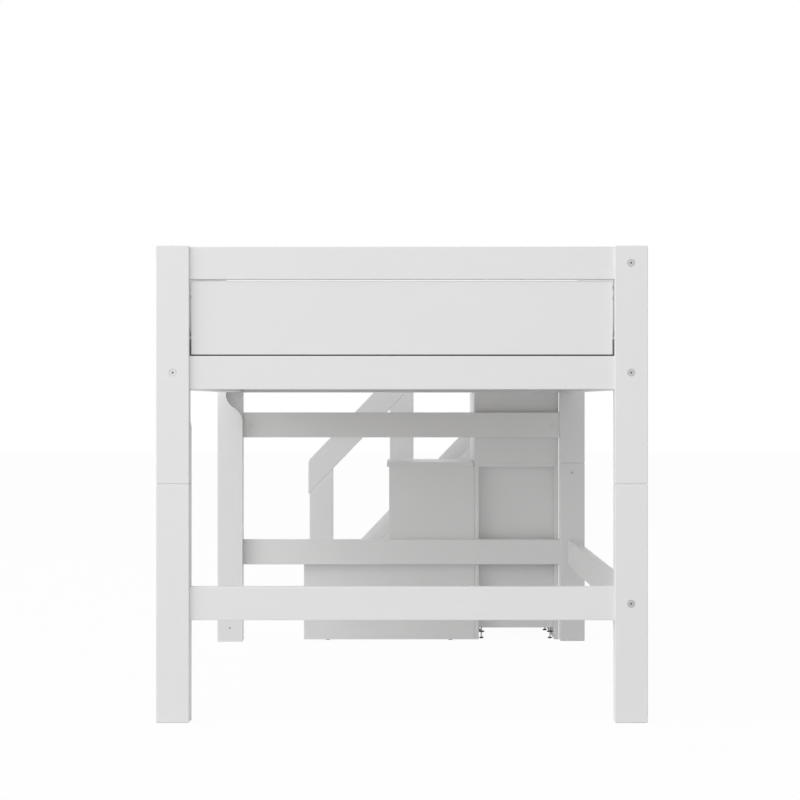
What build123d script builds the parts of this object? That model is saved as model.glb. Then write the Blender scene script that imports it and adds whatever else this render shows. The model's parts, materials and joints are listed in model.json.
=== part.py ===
"""Mid sleeper bed with a storage staircase at its foot end.

Millimetres, +Z up. The origin is on the floor under the middle of the whole piece. X runs across the
bed, Y along it from the head end to the staircase. The left side, -X, is the open side of the room.
"""

from build123d import *
import os

# Mattress and bed frame
mattress_width = 1196
mattress_length = 1984
mattress_height = 130
mattress_corner = 12
mattress_side_gap = 3
mattress_end_gap = 8
post_width = 89
post_thickness = 45
seam_height = 641
board_thickness = 28
rail_height = 90
side_board_inset = 31
post_ease = 2
post_end_chamfer = 2.5
board_ease = 2
stretcher_bottom = 275
cross_rail_bottom = 733
bed_rail_bottom = 895
guard_height = 296
top_rail_height = 88
top_rail_drop = 2.5

# Guard panels
panel_thickness = 18
panel_gap = 3.5
panel_end_gap = 5
guard_post_width = 90

# Slatted base
slat_count = 14
slat_width = 70
slat_thickness = 18
slat_ease = 2.5
slat_top_lift = 45
slat_end_gap = 1
ledger_width = 24
ledger_height = 26
ledger_end_gap = 5
soft_gap = 0.3

# Braces on the left posts
brace_bend_drop = 6
brace_bend_height = 99
brace_neck = 30

# Staircase
step_run = 308
upper_tread_drop = 22
stair_depth = 490
stair_post_gap = 2.5
cabinet_width = 304.5
sheet = 16
tread_overhang = 8
tread_corner = 9
floor_gap = 2
module_gap = 0.5
back_inset = 27
cabinet_floor = 42

# Drawers and cupboard door
front_gap = 2
slide_gap = 0.4
runner_width = 24
runner_height = 12
drawer_side = 12
drawer_side_gap = 10
drawer_back_gap = 10
drawer_top_gap = 30
drawer_base = 6
finger_hole_length = 84
finger_hole_height = 26
finger_hole_drop = 42
door_hole = 32
door_hole_inset = 45
door_hole_drop = 90
door_floor_gap = 26
door_back_gap = 2

# Door hinges
knuckle_radius = 3.5
pin_radius = 1.6
pin_gap = 0.15
leaf_thickness = 1.4
leaf_width = 13
leaf_height = 60
leaf_gap = 2
hinge_inset = 70
knuckle_gap = 0.4

# Balustrade
rail_above_nosing = 320
balustrade_thickness = 28
handrail_corner = 27
handrail_overhang = 5
handrail_width = 90
baluster_width = 91
stringer_width = 88.5
stringer_floor_gap = 2

# Bolts, nuts, dowels and screws
bolt_head_radius = 10
bolt_head_height = 2.2
bolt_head_ease = 0.55
bolt_head_recess = 0.4
bolt_radius = 4
bolt_gap = 0.3
socket_radius = 3
socket_depth = 1.76
bolt_reach = 29
nut_radius = 7.5
nut_length = 20
nut_gap = 0.1
cap_thickness = 2
cap_recess = 0.3
spare_hole_drop = 34
spare_cap_radius = 10
spare_plug_radius = 4.5
spare_plug_length = 8
dowel_radius = 5
dowel_reach = 24
dowel_spread = 28
panel_dowel_radius = 4
panel_dowel_reach = 20
panel_dowel_inset = 45
stud_radius = 5
stud_reach = 40
fit_gap = 0.1
screw_head_radius = 2.8
screw_head_height = 3
screw_sunk = 3
screw_radius = 2
screw_reach = 20
brace_screw_heights = (49, 135)
brace_screw_inset = 44
stair_screw_inset = 70
low_screw_lift = 14
stringer_screw_reach = 13

# Levelling feet and glides
foot_pad_radius = 7.5
foot_pad_height = 5
foot_rod_radius = 3
foot_rod_cover = 2
foot_flange_radius = 11
foot_flange_bottom = 23
foot_flange_height = 4
foot_near_inset = 60
foot_far_inset = 342
foot_side_gap = 0.5
glide_radius = 7.5
glide_inset = 86

# Places worked out from the sizes above
inner_width = mattress_width + 2 * mattress_side_gap
inner_length = mattress_length + 2 * mattress_end_gap
bed_width = inner_width + 2 * (side_board_inset + board_thickness)
bed_length = inner_length + 2 * post_thickness
rail_recess = (post_thickness - board_thickness) / 2
total_length = bed_length - rail_recess + stair_depth + balustrade_thickness
half_width = bed_width / 2
post_inner = half_width - post_width
front_face = -total_length / 2
rear_face = front_face + bed_length
front_inner = front_face + post_thickness
rear_inner = rear_face - post_thickness
front_middle = front_face + post_thickness / 2
rear_middle = rear_face - post_thickness / 2
side_middle = inner_width / 2 + board_thickness / 2
bed_rail_top = bed_rail_bottom + rail_height
bed_height = bed_rail_top + guard_height
top_rail_top = bed_height - top_rail_drop
top_rail_bottom = top_rail_top - top_rail_height
panel_bottom = bed_rail_top + panel_gap
panel_top = top_rail_bottom - panel_gap
bed_rail_middle = bed_rail_bottom + rail_height / 2
top_rail_middle = top_rail_bottom + top_rail_height / 2
slat_top = bed_rail_bottom + slat_top_lift
stretcher_middle = stretcher_bottom + rail_height / 2
cross_rail_middle = cross_rail_bottom + rail_height / 2

# The staircase has three steps and stands beside the inner face of the right post
step_count = 3
stair_near = rear_face - rail_recess
stair_far = stair_near + stair_depth
stair_right = post_inner - stair_post_gap
cabinet_left = stair_right - cabinet_width
top_nosing = cabinet_left - module_gap
nosings = [top_nosing - 2 * step_run, top_nosing - step_run, top_nosing]
step_rise = (bed_rail_top - upper_tread_drop) / step_count
tread_tops = [(step + 1) * step_rise for step in range(step_count)]
near_sheet_inner = stair_near + sheet
far_sheet_inner = stair_far - sheet
rail_far = stair_far + balustrade_thickness
slope = step_rise / step_run
guard_post_right = nosings[2]
guard_post_left = guard_post_right - guard_post_width


def finish(piece, name):
    """Label a finished piece and write it under its own name."""
    piece.part.label = name
    export_step(piece.part, f"parts/{name}.step")


def finish_touching(boards, name):
    """Write boards that stand against each other as separate solids of one node."""
    group = Compound([piece.solid() for piece in boards])
    group.label = name
    export_step(group, f"parts/{name}.step")


class Bore:
    """Straight round bore of stepped radius, cut in every board that it reaches."""

    def __init__(self, start, direction, steps):
        self.plane = Plane(origin=start, z_dir=direction)
        self.steps = steps

    def box(self):
        """Lowest and highest corner of the bore."""
        end = self.plane.origin + self.plane.z_dir * self.steps[-1][1]
        reach = max(radius for _, _, radius in self.steps)
        start = self.plane.origin
        low = [min(a, b) - reach for a, b in zip(start, end)]
        high = [max(a, b) + reach for a, b in zip(start, end)]
        return low, high

    def reaches(self, piece):
        """Whether the bore's box meets the piece's box."""
        low, high = self.box()
        box = piece.bounding_box()
        return all(a < b for a, b in zip(low, box.max)) and all(a > b for a, b in zip(high, box.min))

    def tool(self):
        """The material that the bore takes away."""
        with BuildPart() as cut:
            for begin, end, radius in self.steps:
                with BuildSketch(self.plane.offset(begin)):
                    Circle(radius)
                extrude(amount=end - begin)
        return cut.part


bores = []


def drill(piece):
    """The finished board with every bore that reaches it cut away."""
    with BuildPart() as drilled:
        add(piece)
        for bore in bores:
            if bore.reaches(piece):
                add(bore.tool(), mode=Mode.SUBTRACT)
    return drilled


def board(x, y, z, along=None, ease=0):
    """Solid board between the given low and high places, its long edges rounded by ease."""
    with BuildPart() as plank:
        with BuildSketch(Plane.XY.offset(z[0])):
            with Locations(((x[0] + x[1]) / 2, (y[0] + y[1]) / 2)):
                Rectangle(x[1] - x[0], y[1] - y[0])
        extrude(amount=z[1] - z[0])
        if ease:
            fillet(plank.edges().filter_by(along), ease)
    return plank.part


def around(middle, width):
    """Low and high place of a width about its middle."""
    return (middle - width / 2, middle + width / 2)


def joint_bolt(reach):
    """Connector bolt along +Z, its head's face at the origin and a hexagon socket in it."""
    with BuildPart() as bolt:
        with BuildSketch(Plane.XY.offset(bolt_head_recess)):
            Circle(bolt_head_radius)
        extrude(amount=bolt_head_height)
        fillet(bolt.edges().sort_by(Axis.Z)[0], bolt_head_ease)
        with BuildSketch(Plane.XY.offset(bolt_head_recess)):
            RegularPolygon(socket_radius, 6)
        extrude(amount=socket_depth, mode=Mode.SUBTRACT)
        with BuildSketch(Plane.XY.offset(bolt_head_recess + bolt_head_height)):
            Circle(bolt_radius)
        extrude(amount=reach - bolt_head_recess - bolt_head_height)
    return bolt.part


def barrel_nut():
    """Barrel nut lying along +Z below its cap, with the bolt's cross bore."""
    bottom = cap_recess + cap_thickness
    with BuildPart() as nut:
        with BuildSketch(Plane.XY.offset(bottom)):
            Circle(nut_radius - nut_gap)
        extrude(amount=nut_length)
        with BuildSketch(Plane.YZ):
            with Locations((0, board_thickness / 2)):
                Circle(bolt_radius + fit_gap)
        extrude(amount=nut_radius, both=True, mode=Mode.SUBTRACT)
    return nut.part


def disc(bottom, height, radius):
    """Round disc standing on +Z."""
    with BuildPart() as piece:
        with BuildSketch(Plane.XY.offset(bottom)):
            Circle(radius)
        extrude(amount=height)
    return piece.part


def spare_cap():
    """Push-in cap over a bolt hole that this build leaves unused."""
    with BuildPart() as cap:
        with BuildSketch(Plane.XY.offset(cap_recess)):
            Circle(spare_cap_radius - fit_gap)
        extrude(amount=cap_thickness)
        with BuildSketch(Plane.XY.offset(cap_recess + cap_thickness)):
            Circle(spare_plug_radius)
        extrude(amount=spare_plug_length - cap_thickness)
    return cap.part


def pin(length, radius):
    """Plain round pin standing on +Z from its middle."""
    with BuildPart() as piece:
        with BuildSketch():
            Circle(radius)
        extrude(amount=length / 2, both=True)
    return piece.part


def screw(length):
    """Panel screw along +Z with a sunk head."""
    with BuildPart() as piece:
        with BuildSketch(Plane.XY.offset(screw_sunk)):
            Circle(screw_head_radius)
        extrude(amount=screw_head_height)
        with BuildSketch(Plane.XY.offset(screw_sunk + screw_head_height)):
            Circle(screw_radius)
        extrude(amount=length - screw_sunk - screw_head_height)
    return piece.part


def placed(piece, plane):
    """A copy of a piece modelled about the origin, set on a plane."""
    return plane.location * piece


os.makedirs("parts", exist_ok=True)

hardware = {
    "frame_bolts": [],
    "barrel_nuts": [],
    "cover_caps": [],
    "rail_dowels": [],
    "leg_studs": [],
    "screws": [],
}


def fit_bolt(start, direction, depth, nut_side):
    """Bolt through a post, with its barrel nut let into the rail from the nut_side face."""
    reach = depth + bolt_reach + nut_radius
    plane = Plane(origin=start, z_dir=direction)
    hardware["frame_bolts"].append(placed(joint_bolt(reach), plane))
    seat = bolt_head_recess + bolt_head_height
    steps = [(0, seat, bolt_head_radius + bolt_gap), (seat, reach, bolt_radius + bolt_gap)]
    bores.append(Bore(start, direction, steps))
    nut_middle = Vector(*start) + Vector(*direction) * (depth + bolt_reach)
    mouth = nut_middle + Vector(*nut_side) * (board_thickness / 2)
    inward = Vector(*nut_side) * -1
    nut_plane = Plane(origin=mouth, x_dir=direction, z_dir=inward)
    hardware["barrel_nuts"].append(placed(barrel_nut(), nut_plane))
    hardware["cover_caps"].append(placed(disc(cap_recess, cap_thickness, nut_radius), nut_plane))
    hole = cap_recess + cap_thickness + nut_length
    bores.append(Bore(mouth, inward, [(0, hole, nut_radius)]))


def fit_pin(middle, direction, reach, radius, kind="rail_dowels"):
    """Dowel or stud of equal reach either side of its middle."""
    plane = Plane(origin=middle, z_dir=direction)
    hardware[kind].append(placed(pin(2 * reach, radius - fit_gap), plane))
    start = Vector(*middle) - Vector(*direction) * reach
    bores.append(Bore(start, direction, [(0, 2 * reach, radius)]))


def fit_screw(start, direction, reach):
    """Screw sunk from start through one board into the next."""
    plane = Plane(origin=start, z_dir=direction)
    hardware["screws"].append(placed(screw(reach), plane))
    head_end = screw_sunk + screw_head_height
    steps = [(0, head_end, screw_head_radius + fit_gap), (head_end, reach, screw_radius + fit_gap)]
    bores.append(Bore(start, direction, steps))


# Side boards are bolted through the posts at both ends
bolted = {
    -1: [bed_rail_middle],
    1: [stretcher_middle, bed_rail_middle, top_rail_middle],
}
for side, heights in bolted.items():
    for height in heights:
        for face, forward in ((front_face, 1), (rear_face, -1)):
            fit_bolt((side * side_middle, face, height), (0, forward, 0), post_thickness, (-side, 0, 0))
            for lift in (-dowel_spread, dowel_spread):
                middle = (side * side_middle, face + forward * post_thickness, height + lift)
                fit_pin(middle, (0, forward, 0), dowel_reach, dowel_radius)

# The low cross rail of the foot end is bolted through the post sides
for side in (-1, 1):
    fit_bolt((side * half_width, rear_middle, cross_rail_middle), (-side, 0, 0), post_width, (0, -1, 0))

# End rails are dowelled into the posts
end_rails = {
    front_middle: [stretcher_middle, bed_rail_middle, top_rail_middle],
    rear_middle: [stretcher_middle, bed_rail_middle],
}
for middle, heights in end_rails.items():
    for height in heights:
        for side in (-1, 1):
            for lift in (-dowel_spread, dowel_spread):
                place = (side * post_inner, middle, height + lift)
                fit_pin(place, (-side, 0, 0), dowel_reach, dowel_radius)
fit_pin((-post_inner, rear_middle, top_rail_middle), (1, 0, 0), dowel_reach, dowel_radius)

# Panels hang on small dowels across the gap beside each post
panel_dowel_heights = [panel_bottom + panel_dowel_inset, panel_top - panel_dowel_inset]
for height in panel_dowel_heights:
    ends = [(side * post_inner, front_middle) for side in (-1, 1)]
    ends += [(place, rear_middle) for place in (-post_inner, guard_post_left)]
    for x, y in ends:
        fit_pin((x, y, height), (1, 0, 0), panel_dowel_reach, panel_dowel_radius)
    for side in (-1, 1):
        for inner in (front_inner, rear_inner):
            fit_pin((side * side_middle, inner, height), (0, 1, 0), panel_dowel_reach, panel_dowel_radius)
fit_pin((guard_post_left, rear_middle, top_rail_middle), (1, 0, 0), dowel_reach, dowel_radius)
for shift in (-dowel_spread, dowel_spread):
    middle = (guard_post_left + guard_post_width / 2 + shift, rear_middle, bed_rail_top)
    fit_pin(middle, (0, 0, 1), dowel_reach, dowel_radius)

# Threaded studs join each leg to the post above it
for side in (-1, 1):
    for middle in (front_middle, rear_middle):
        fit_pin((side * side_middle, middle, seam_height), (0, 0, 1), stud_reach, stud_radius, "leg_studs")

# Unused bolt holes on the inner face of the right legs are capped
for inner, forward in ((front_inner, -1), (rear_inner, 1)):
    start = (side_middle, inner, seam_height - spare_hole_drop)
    hardware["cover_caps"].append(placed(spare_cap(), Plane(origin=start, z_dir=(0, forward, 0))))
    cap_end = cap_recess + cap_thickness
    plug_end = cap_recess + spare_plug_length
    steps = [(0, cap_end, spare_cap_radius), (cap_end, plug_end, spare_plug_radius + fit_gap)]
    bores.append(Bore(start, (0, forward, 0), steps))

# Screws hold the braces to the left posts, low down and through the neck
brace_screws = [(height, brace_screw_inset) for height in brace_screw_heights]
brace_screws.append((bed_rail_middle, brace_neck / 2))
for inner, forward in ((front_inner, -1), (rear_inner, 1)):
    for height, inset in brace_screws:
        start = (-half_width + inset, inner - forward * board_thickness, height)
        fit_screw(start, (0, forward, 0), board_thickness + screw_reach)

# Screws from inside the stairs into the end rails, and through the stringer into the stairs
for place, height in (
    (nosings[0] + stair_screw_inset, stretcher_bottom + low_screw_lift),
    (nosings[2] - stair_screw_inset, stretcher_bottom + low_screw_lift),
    (nosings[2] + stair_screw_inset, cross_rail_middle),
    (stair_right - stair_screw_inset, cross_rail_middle),
):
    fit_screw((place, near_sheet_inner, height), (0, -1, 0), sheet + screw_reach)
for nosing in nosings:
    for x in (nosing + step_run / 3, nosing + 2 * step_run / 3):
        rise = (x - nosings[0]) * slope + stringer_width / 2
        fit_screw((x, rail_far, rise), (0, -1, 0), balustrade_thickness + stringer_screw_reach)

# Corner posts and the legs that they stand on
for end, low, high in (("front", front_face, front_inner), ("rear", rear_inner, rear_face)):
    for side_name, side in (("left", -1), ("right", 1)):
        across = sorted((side * half_width, side * post_inner))
        for kind, bottom, top in (("leg", 0, seam_height), ("post", seam_height, bed_height)):
            with BuildPart() as corner:
                with BuildSketch(Plane.XY.offset(bottom)):
                    with Locations((side * (half_width + post_inner) / 2, (low + high) / 2)):
                        Rectangle(across[1] - across[0], high - low)
                extrude(amount=top - bottom)
                chamfer(corner.faces().sort_by(Axis.Z)[0].edges(), post_end_chamfer)
                chamfer(corner.faces().sort_by(Axis.Z)[-1].edges(), post_end_chamfer)
                fillet(corner.edges().filter_by(Axis.Z), post_ease)
            finish(drill(corner.part), f"{end}_{side_name}_{kind}")

# Rails and panels of the two ends
between_posts = (-post_inner, post_inner)
end_boards = {
    "front_top_rail": (between_posts, front_middle, (top_rail_bottom, top_rail_top)),
    "front_bed_rail": (between_posts, front_middle, (bed_rail_bottom, bed_rail_top)),
    "front_stretcher": (between_posts, front_middle, (stretcher_bottom, stretcher_bottom + rail_height)),
    "rear_guard_rail": ((-post_inner, guard_post_left), rear_middle, (top_rail_bottom, top_rail_top)),
    "rear_bed_rail": (between_posts, rear_middle, (bed_rail_bottom, bed_rail_top)),
    "rear_cross_rail": (between_posts, rear_middle, (cross_rail_bottom, cross_rail_bottom + rail_height)),
    "rear_stretcher": (between_posts, rear_middle, (stretcher_bottom, stretcher_bottom + rail_height)),
}
for name, (x, middle, z) in end_boards.items():
    finish(drill(board(x, around(middle, board_thickness), z, Axis.X, board_ease)), name)

end_panels = {
    "front_panel": ((-post_inner + panel_end_gap, post_inner - panel_end_gap), front_middle),
    "rear_guard_panel": ((-post_inner + panel_end_gap, guard_post_left - panel_end_gap), rear_middle),
}
for name, (x, middle) in end_panels.items():
    panel = board(x, around(middle, panel_thickness), (panel_bottom, panel_top), Axis.X, board_ease)
    finish(drill(panel), name)

guard_post = board(
    (guard_post_left, guard_post_right),
    around(rear_middle, board_thickness),
    (bed_rail_top, bed_height),
    Axis.Z,
    board_ease,
)
finish(drill(guard_post), "rear_guard_post")

# Rails, guard boards and panels of the two sides
between_ends = (front_inner, rear_inner)
side_boards = {
    "left_bed_rail": (-1, (bed_rail_bottom, bed_rail_top)),
    "left_guard_board": (-1, (panel_bottom, top_rail_top)),
    "right_bed_rail": (1, (bed_rail_bottom, bed_rail_top)),
    "right_guard_rail": (1, (top_rail_bottom, top_rail_top)),
    "right_stretcher": (1, (stretcher_bottom, stretcher_bottom + rail_height)),
}
for name, (side, z) in side_boards.items():
    x = around(side * side_middle, board_thickness)
    finish(drill(board(x, between_ends, z, Axis.Y, board_ease)), name)
side_panel = board(
    around(side_middle, panel_thickness),
    (front_inner + panel_end_gap, rear_inner - panel_end_gap),
    (panel_bottom, panel_top),
    Axis.Y,
    board_ease,
)
finish(drill(side_panel), "right_guard_panel")

# Braces: full width below, an S-bend, and a narrow neck that passes outside the bed rail
braces = []
bend_top = bed_rail_bottom - brace_bend_drop
bend_bottom = bend_top - brace_bend_height
wide = -half_width + post_width
neck = -half_width + brace_neck
for inner, forward in ((front_inner, -1), (rear_inner, 1)):
    with BuildPart() as brace:
        with BuildSketch(Plane.XZ.offset(-inner)):
            with BuildLine():
                Polyline((wide, bend_bottom), (wide, 0), (-half_width, 0), (-half_width, bed_rail_top))
                Polyline((-half_width, bed_rail_top), (neck, bed_rail_top), (neck, bend_top))
                halfway = ((wide + neck) / 2, (bend_bottom + bend_top) / 2)
                lower_arc = TangentArc((wide, bend_bottom), halfway, tangent=(0, 1))
                TangentArc(halfway, (neck, bend_top), tangent=lower_arc % 1)
            make_face()
        extrude(amount=forward * board_thickness)
    braces.append(drill(brace.part).part)
with BuildPart() as left_braces:
    add(braces)
finish(left_braces, "left_braces")

# Slatted base
with BuildPart() as slat_ledgers:
    for side in (-1, 1):
        inner = side * inner_width / 2
        x = sorted((inner, inner - side * ledger_width))
        y = (front_inner + ledger_end_gap, rear_inner - ledger_end_gap)
        top = slat_top - slat_thickness
        add(board(x, y, (top - ledger_height, top)))
finish(slat_ledgers, "slat_ledgers")

slat_room = inner_length - 2 * slat_width
with BuildPart() as slats:
    with BuildSketch(Plane.XY.offset(slat_top - slat_thickness)):
        with Locations((0, (front_inner + rear_inner) / 2)):
            with GridLocations(1, slat_room / (slat_count - 1), 1, slat_count):
                RectangleRounded(inner_width - 2 * slat_end_gap, slat_width, slat_ease)
    extrude(amount=slat_thickness)
finish(slats, "slats")

with BuildPart() as mattress:
    with BuildSketch(Plane.XY.offset(slat_top + soft_gap)):
        with Locations((0, (front_inner + rear_inner) / 2)):
            RectangleRounded(mattress_width, mattress_length, mattress_corner)
    extrude(amount=mattress_height)
finish(mattress, "mattress")

# Near and far side sheets of the two lower steps: one L-shaped outline each
outline = [
    (nosings[0], floor_gap),
    (nosings[0], tread_tops[0] - sheet),
    (nosings[1], tread_tops[0] - sheet),
    (nosings[1], tread_tops[1] - sheet),
    (nosings[2], tread_tops[1] - sheet),
    (nosings[2], floor_gap),
]
for name, face in (("stair_near_panel", stair_near), ("stair_far_panel", far_sheet_inner)):
    with BuildPart() as side_sheet:
        with BuildSketch(Plane.XZ.offset(-face)):
            with BuildLine():
                Polyline(*outline, close=True)
            make_face()
        extrude(amount=-sheet)
    finish(drill(side_sheet.part), name)

# The right end of the lower module closes it against the cabinet
end_sheet = board(
    (nosings[2] - sheet, nosings[2]),
    (near_sheet_inner, far_sheet_inner),
    (floor_gap, tread_tops[1] - sheet),
)
finish(drill(end_sheet), "stair_end_panel")

# The lowest tread runs on between the side sheets as the floor under the middle drawer
lower_front = (nosings[0] - tread_overhang, nosings[1])
with BuildPart() as lower_tread:
    tread_floor = Plane.XY.offset(tread_tops[0] - sheet)
    with BuildSketch(tread_floor):
        with Locations((sum(lower_front) / 2, (stair_near + stair_far) / 2)):
            Rectangle(lower_front[1] - lower_front[0], stair_depth)
        with Locations(((nosings[1] + nosings[2] - sheet) / 2, (stair_near + stair_far) / 2)):
            Rectangle(nosings[2] - sheet - nosings[1], stair_depth - 2 * sheet)
    extrude(amount=sheet)
finish(drill(lower_tread.part), "lower_tread")

# Middle and upper treads, with the rounded corner beside the next riser
for name, step, right in (("middle_tread", 1, nosings[2]), ("upper_tread", 2, stair_right)):
    left = nosings[step] - tread_overhang
    with BuildPart() as tread:
        with BuildSketch(Plane.XY.offset(tread_tops[step] - sheet)):
            with Locations(((left + right) / 2, (stair_near + stair_far) / 2)):
                Rectangle(right - left, stair_depth)
            if step == 1:
                fillet(vertices().group_by(Axis.X)[-1].sort_by(Axis.Y)[0], tread_corner)
        extrude(amount=sheet)
    finish(drill(tread.part), name)

# Cabinet under the top step, open towards the far side behind its door
cabinet_sheets = (cabinet_left + sheet, stair_right - sheet)
cabinet_top = tread_tops[1]
with BuildPart() as cabinet_sides:
    for x in ((cabinet_left, cabinet_sheets[0]), (cabinet_sheets[1], stair_right)):
        add(board(x, (stair_near, stair_far), (floor_gap, cabinet_top - sheet)))
finish(drill(cabinet_sides.part), "cabinet_sides")

foot_inset = sheet + foot_side_gap + foot_flange_radius
foot_places = [
    (x, stair_near + y)
    for x in (cabinet_left + foot_inset, stair_right - foot_inset)
    for y in (foot_near_inset, foot_far_inset)
]
rod_top = cabinet_floor + sheet - foot_rod_cover
for x, y in foot_places:
    steps = [(0, rod_top - cabinet_floor, foot_rod_radius + fit_gap)]
    bores.append(Bore((x, y, cabinet_floor), (0, 0, 1), steps))

cabinet_back_near = stair_near + back_inset
cabinet_back_inner = cabinet_back_near + sheet
door_near = stair_far - sheet
shelf_middle = (cabinet_floor + cabinet_top) / 2
with BuildPart() as cabinet_decks:
    add(board((cabinet_left, stair_right), (stair_near, stair_far), (cabinet_top - sheet, cabinet_top)))
    deck_y = (cabinet_back_inner, door_near - door_back_gap)
    for z in ((cabinet_floor, cabinet_floor + sheet), around(shelf_middle, sheet)):
        add(board(cabinet_sheets, deck_y, z))
finish(drill(cabinet_decks.part), "cabinet_decks")

cabinet_back = board(
    cabinet_sheets, (cabinet_back_near, cabinet_back_inner), (cabinet_floor, cabinet_top - sheet)
)
finish(drill(cabinet_back), "cabinet_back")

# Box of the top step: near, far and right sheets standing on the cabinet
box_z = (cabinet_top, tread_tops[2] - sheet)
top_box_panels = [
    board((cabinet_left, stair_right), (stair_near, near_sheet_inner), box_z),
    board((cabinet_left, stair_right), (far_sheet_inner, stair_far), box_z),
    board((stair_right - sheet, stair_right), (near_sheet_inner, far_sheet_inner), box_z),
]
finish_touching([drill(sheet_board).part for sheet_board in top_box_panels], "top_box_panels")

# Levelling feet under the cabinet, and glides under the lower module
with BuildPart() as levelling_feet:
    for x, y in foot_places:
        with BuildSketch():
            with Locations((x, y)):
                Circle(foot_pad_radius)
        extrude(amount=foot_pad_height)
        with BuildSketch(Plane.XY.offset(foot_pad_height)):
            with Locations((x, y)):
                Circle(foot_rod_radius)
        extrude(amount=rod_top - foot_pad_height)
        with BuildSketch(Plane.XY.offset(foot_flange_bottom)):
            with Locations((x, y)):
                Circle(foot_flange_radius)
        extrude(amount=foot_flange_height)
finish(levelling_feet, "levelling_feet")

module_glides = [
    (x, y)
    for x in (nosings[0] + glide_inset, nosings[2] - glide_inset)
    for y in (stair_near + sheet / 2, stair_far - sheet / 2)
]
cabinet_glides = [
    (x, y)
    for x in (cabinet_left + sheet / 2, stair_right - sheet / 2)
    for y in (stair_near + glide_inset, stair_far - glide_inset)
]
with BuildPart() as glides:
    with BuildSketch():
        with Locations(*module_glides, *cabinet_glides):
            Circle(glide_radius)
    extrude(amount=floor_gap)
finish(glides, "glides")

# Drawers slide out to the left through the risers, on a wooden runner at each side
drawer_room = (near_sheet_inner, far_sheet_inner)
drawers = {
    "lower": (nosings[0], nosings[2] - sheet, floor_gap + sheet, tread_tops[0] - sheet, floor_gap),
    "middle": (nosings[1], nosings[2] - sheet, tread_tops[0], tread_tops[1] - sheet, tread_tops[0]),
    "upper": (cabinet_left, stair_right - sheet, tread_tops[1], tread_tops[2] - sheet, tread_tops[1]),
}
box_y = (drawer_room[0] + drawer_side_gap, drawer_room[1] - drawer_side_gap)
runners = []
for name, (left, right, floor, ceiling, front_floor) in drawers.items():
    front_right = left + sheet
    front_height = ceiling - front_floor - 2 * front_gap
    hole_middle = ceiling - front_gap - finger_hole_drop
    with BuildPart() as drawer_front:
        with BuildSketch(Plane.YZ.offset(left)):
            with Locations((sum(drawer_room) / 2, (front_floor + ceiling) / 2)):
                Rectangle(drawer_room[1] - drawer_room[0] - 2 * front_gap, front_height)
            with Locations((sum(drawer_room) / 2, hole_middle)):
                SlotOverall(finger_hole_length, finger_hole_height, mode=Mode.SUBTRACT)
        extrude(amount=sheet)
    finish(drawer_front, f"{name}_drawer_front")

    box_right = right - drawer_back_gap
    box_bottom = floor + runner_height + slide_gap
    box_top = ceiling - drawer_top_gap
    inner_y = (box_y[0] + drawer_side, box_y[1] - drawer_side)
    base_z = (box_bottom + drawer_side, box_bottom + drawer_side + drawer_base)
    drawer_box = [
        board((front_right, box_right), (box_y[0], inner_y[0]), (box_bottom, box_top)),
        board((front_right, box_right), (inner_y[1], box_y[1]), (box_bottom, box_top)),
        board((box_right - drawer_side, box_right), inner_y, (box_bottom, box_top)),
        board((front_right, box_right - drawer_side), inner_y, base_z),
    ]
    finish_touching(drawer_box, f"{name}_drawer_box")
    for near in (drawer_room[0], drawer_room[1] - runner_width):
        runner_y = (near, near + runner_width)
        runners.append(board((front_right + front_gap, right), runner_y, (floor, floor + runner_height)))
with BuildPart() as drawer_runners:
    add(runners)
finish(drill(drawer_runners.part), "drawer_runners")

# Cupboard door on the far side, hung at its right edge
axis_x = cabinet_sheets[1] - front_gap / 2
axis_y = stair_far + knuckle_radius
door_x = (cabinet_sheets[0] + front_gap, cabinet_sheets[1] - front_gap)
door_z = (door_floor_gap, cabinet_top - sheet - front_gap)
with BuildPart() as cupboard_door:
    with BuildSketch(Plane.XZ.offset(-door_near)):
        with Locations((sum(door_x) / 2, sum(door_z) / 2)):
            Rectangle(door_x[1] - door_x[0], door_z[1] - door_z[0])
        with Locations((door_x[0] + door_hole_inset, door_z[1] - door_hole_drop)):
            Circle(door_hole / 2, mode=Mode.SUBTRACT)
    extrude(amount=-sheet)
finish(cupboard_door, "cupboard_door")

# Each hinge has two knuckles and the pin on the cabinet's leaf, and the long knuckle on the door's
hinge_heights = (door_z[0] + hinge_inset, door_z[1] - hinge_inset)
end_knuckle = leaf_height / 4
web = (axis_x + knuckle_radius + leaf_gap, axis_x + leaf_width)
frame_leaves = []
door_leaves = []
for height in hinge_heights:
    bottom = height - leaf_height / 2
    with BuildPart() as frame_leaf:
        with BuildSketch(Plane.XY.offset(bottom)):
            with Locations((axis_x, axis_y)):
                Circle(pin_radius)
        extrude(amount=leaf_height)
        for begin in (bottom, bottom + leaf_height - end_knuckle):
            with BuildSketch(Plane.XY.offset(begin)):
                with Locations((axis_x, axis_y)):
                    Circle(knuckle_radius)
                with Locations((axis_x + leaf_width / 2, stair_far + leaf_thickness / 2)):
                    Rectangle(leaf_width, leaf_thickness)
            extrude(amount=end_knuckle)
        with BuildSketch(Plane.XY.offset(bottom)):
            with Locations((sum(web) / 2, stair_far + leaf_thickness / 2)):
                Rectangle(web[1] - web[0], leaf_thickness)
        extrude(amount=leaf_height)
    frame_leaves.append(frame_leaf.part)
    with BuildPart() as door_leaf:
        with BuildSketch(Plane.XY.offset(bottom + end_knuckle + knuckle_gap)):
            with Locations((axis_x, axis_y)):
                Circle(knuckle_radius)
            with Locations((axis_x - leaf_width / 2, stair_far + leaf_thickness / 2)):
                Rectangle(leaf_width, leaf_thickness)
            with Locations((axis_x, axis_y)):
                Circle(pin_radius + pin_gap, mode=Mode.SUBTRACT)
        extrude(amount=leaf_height - 2 * (end_knuckle + knuckle_gap))
    door_leaves.append(door_leaf.part)
with BuildPart() as hinge_frame_leaves:
    add(frame_leaves)
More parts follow.
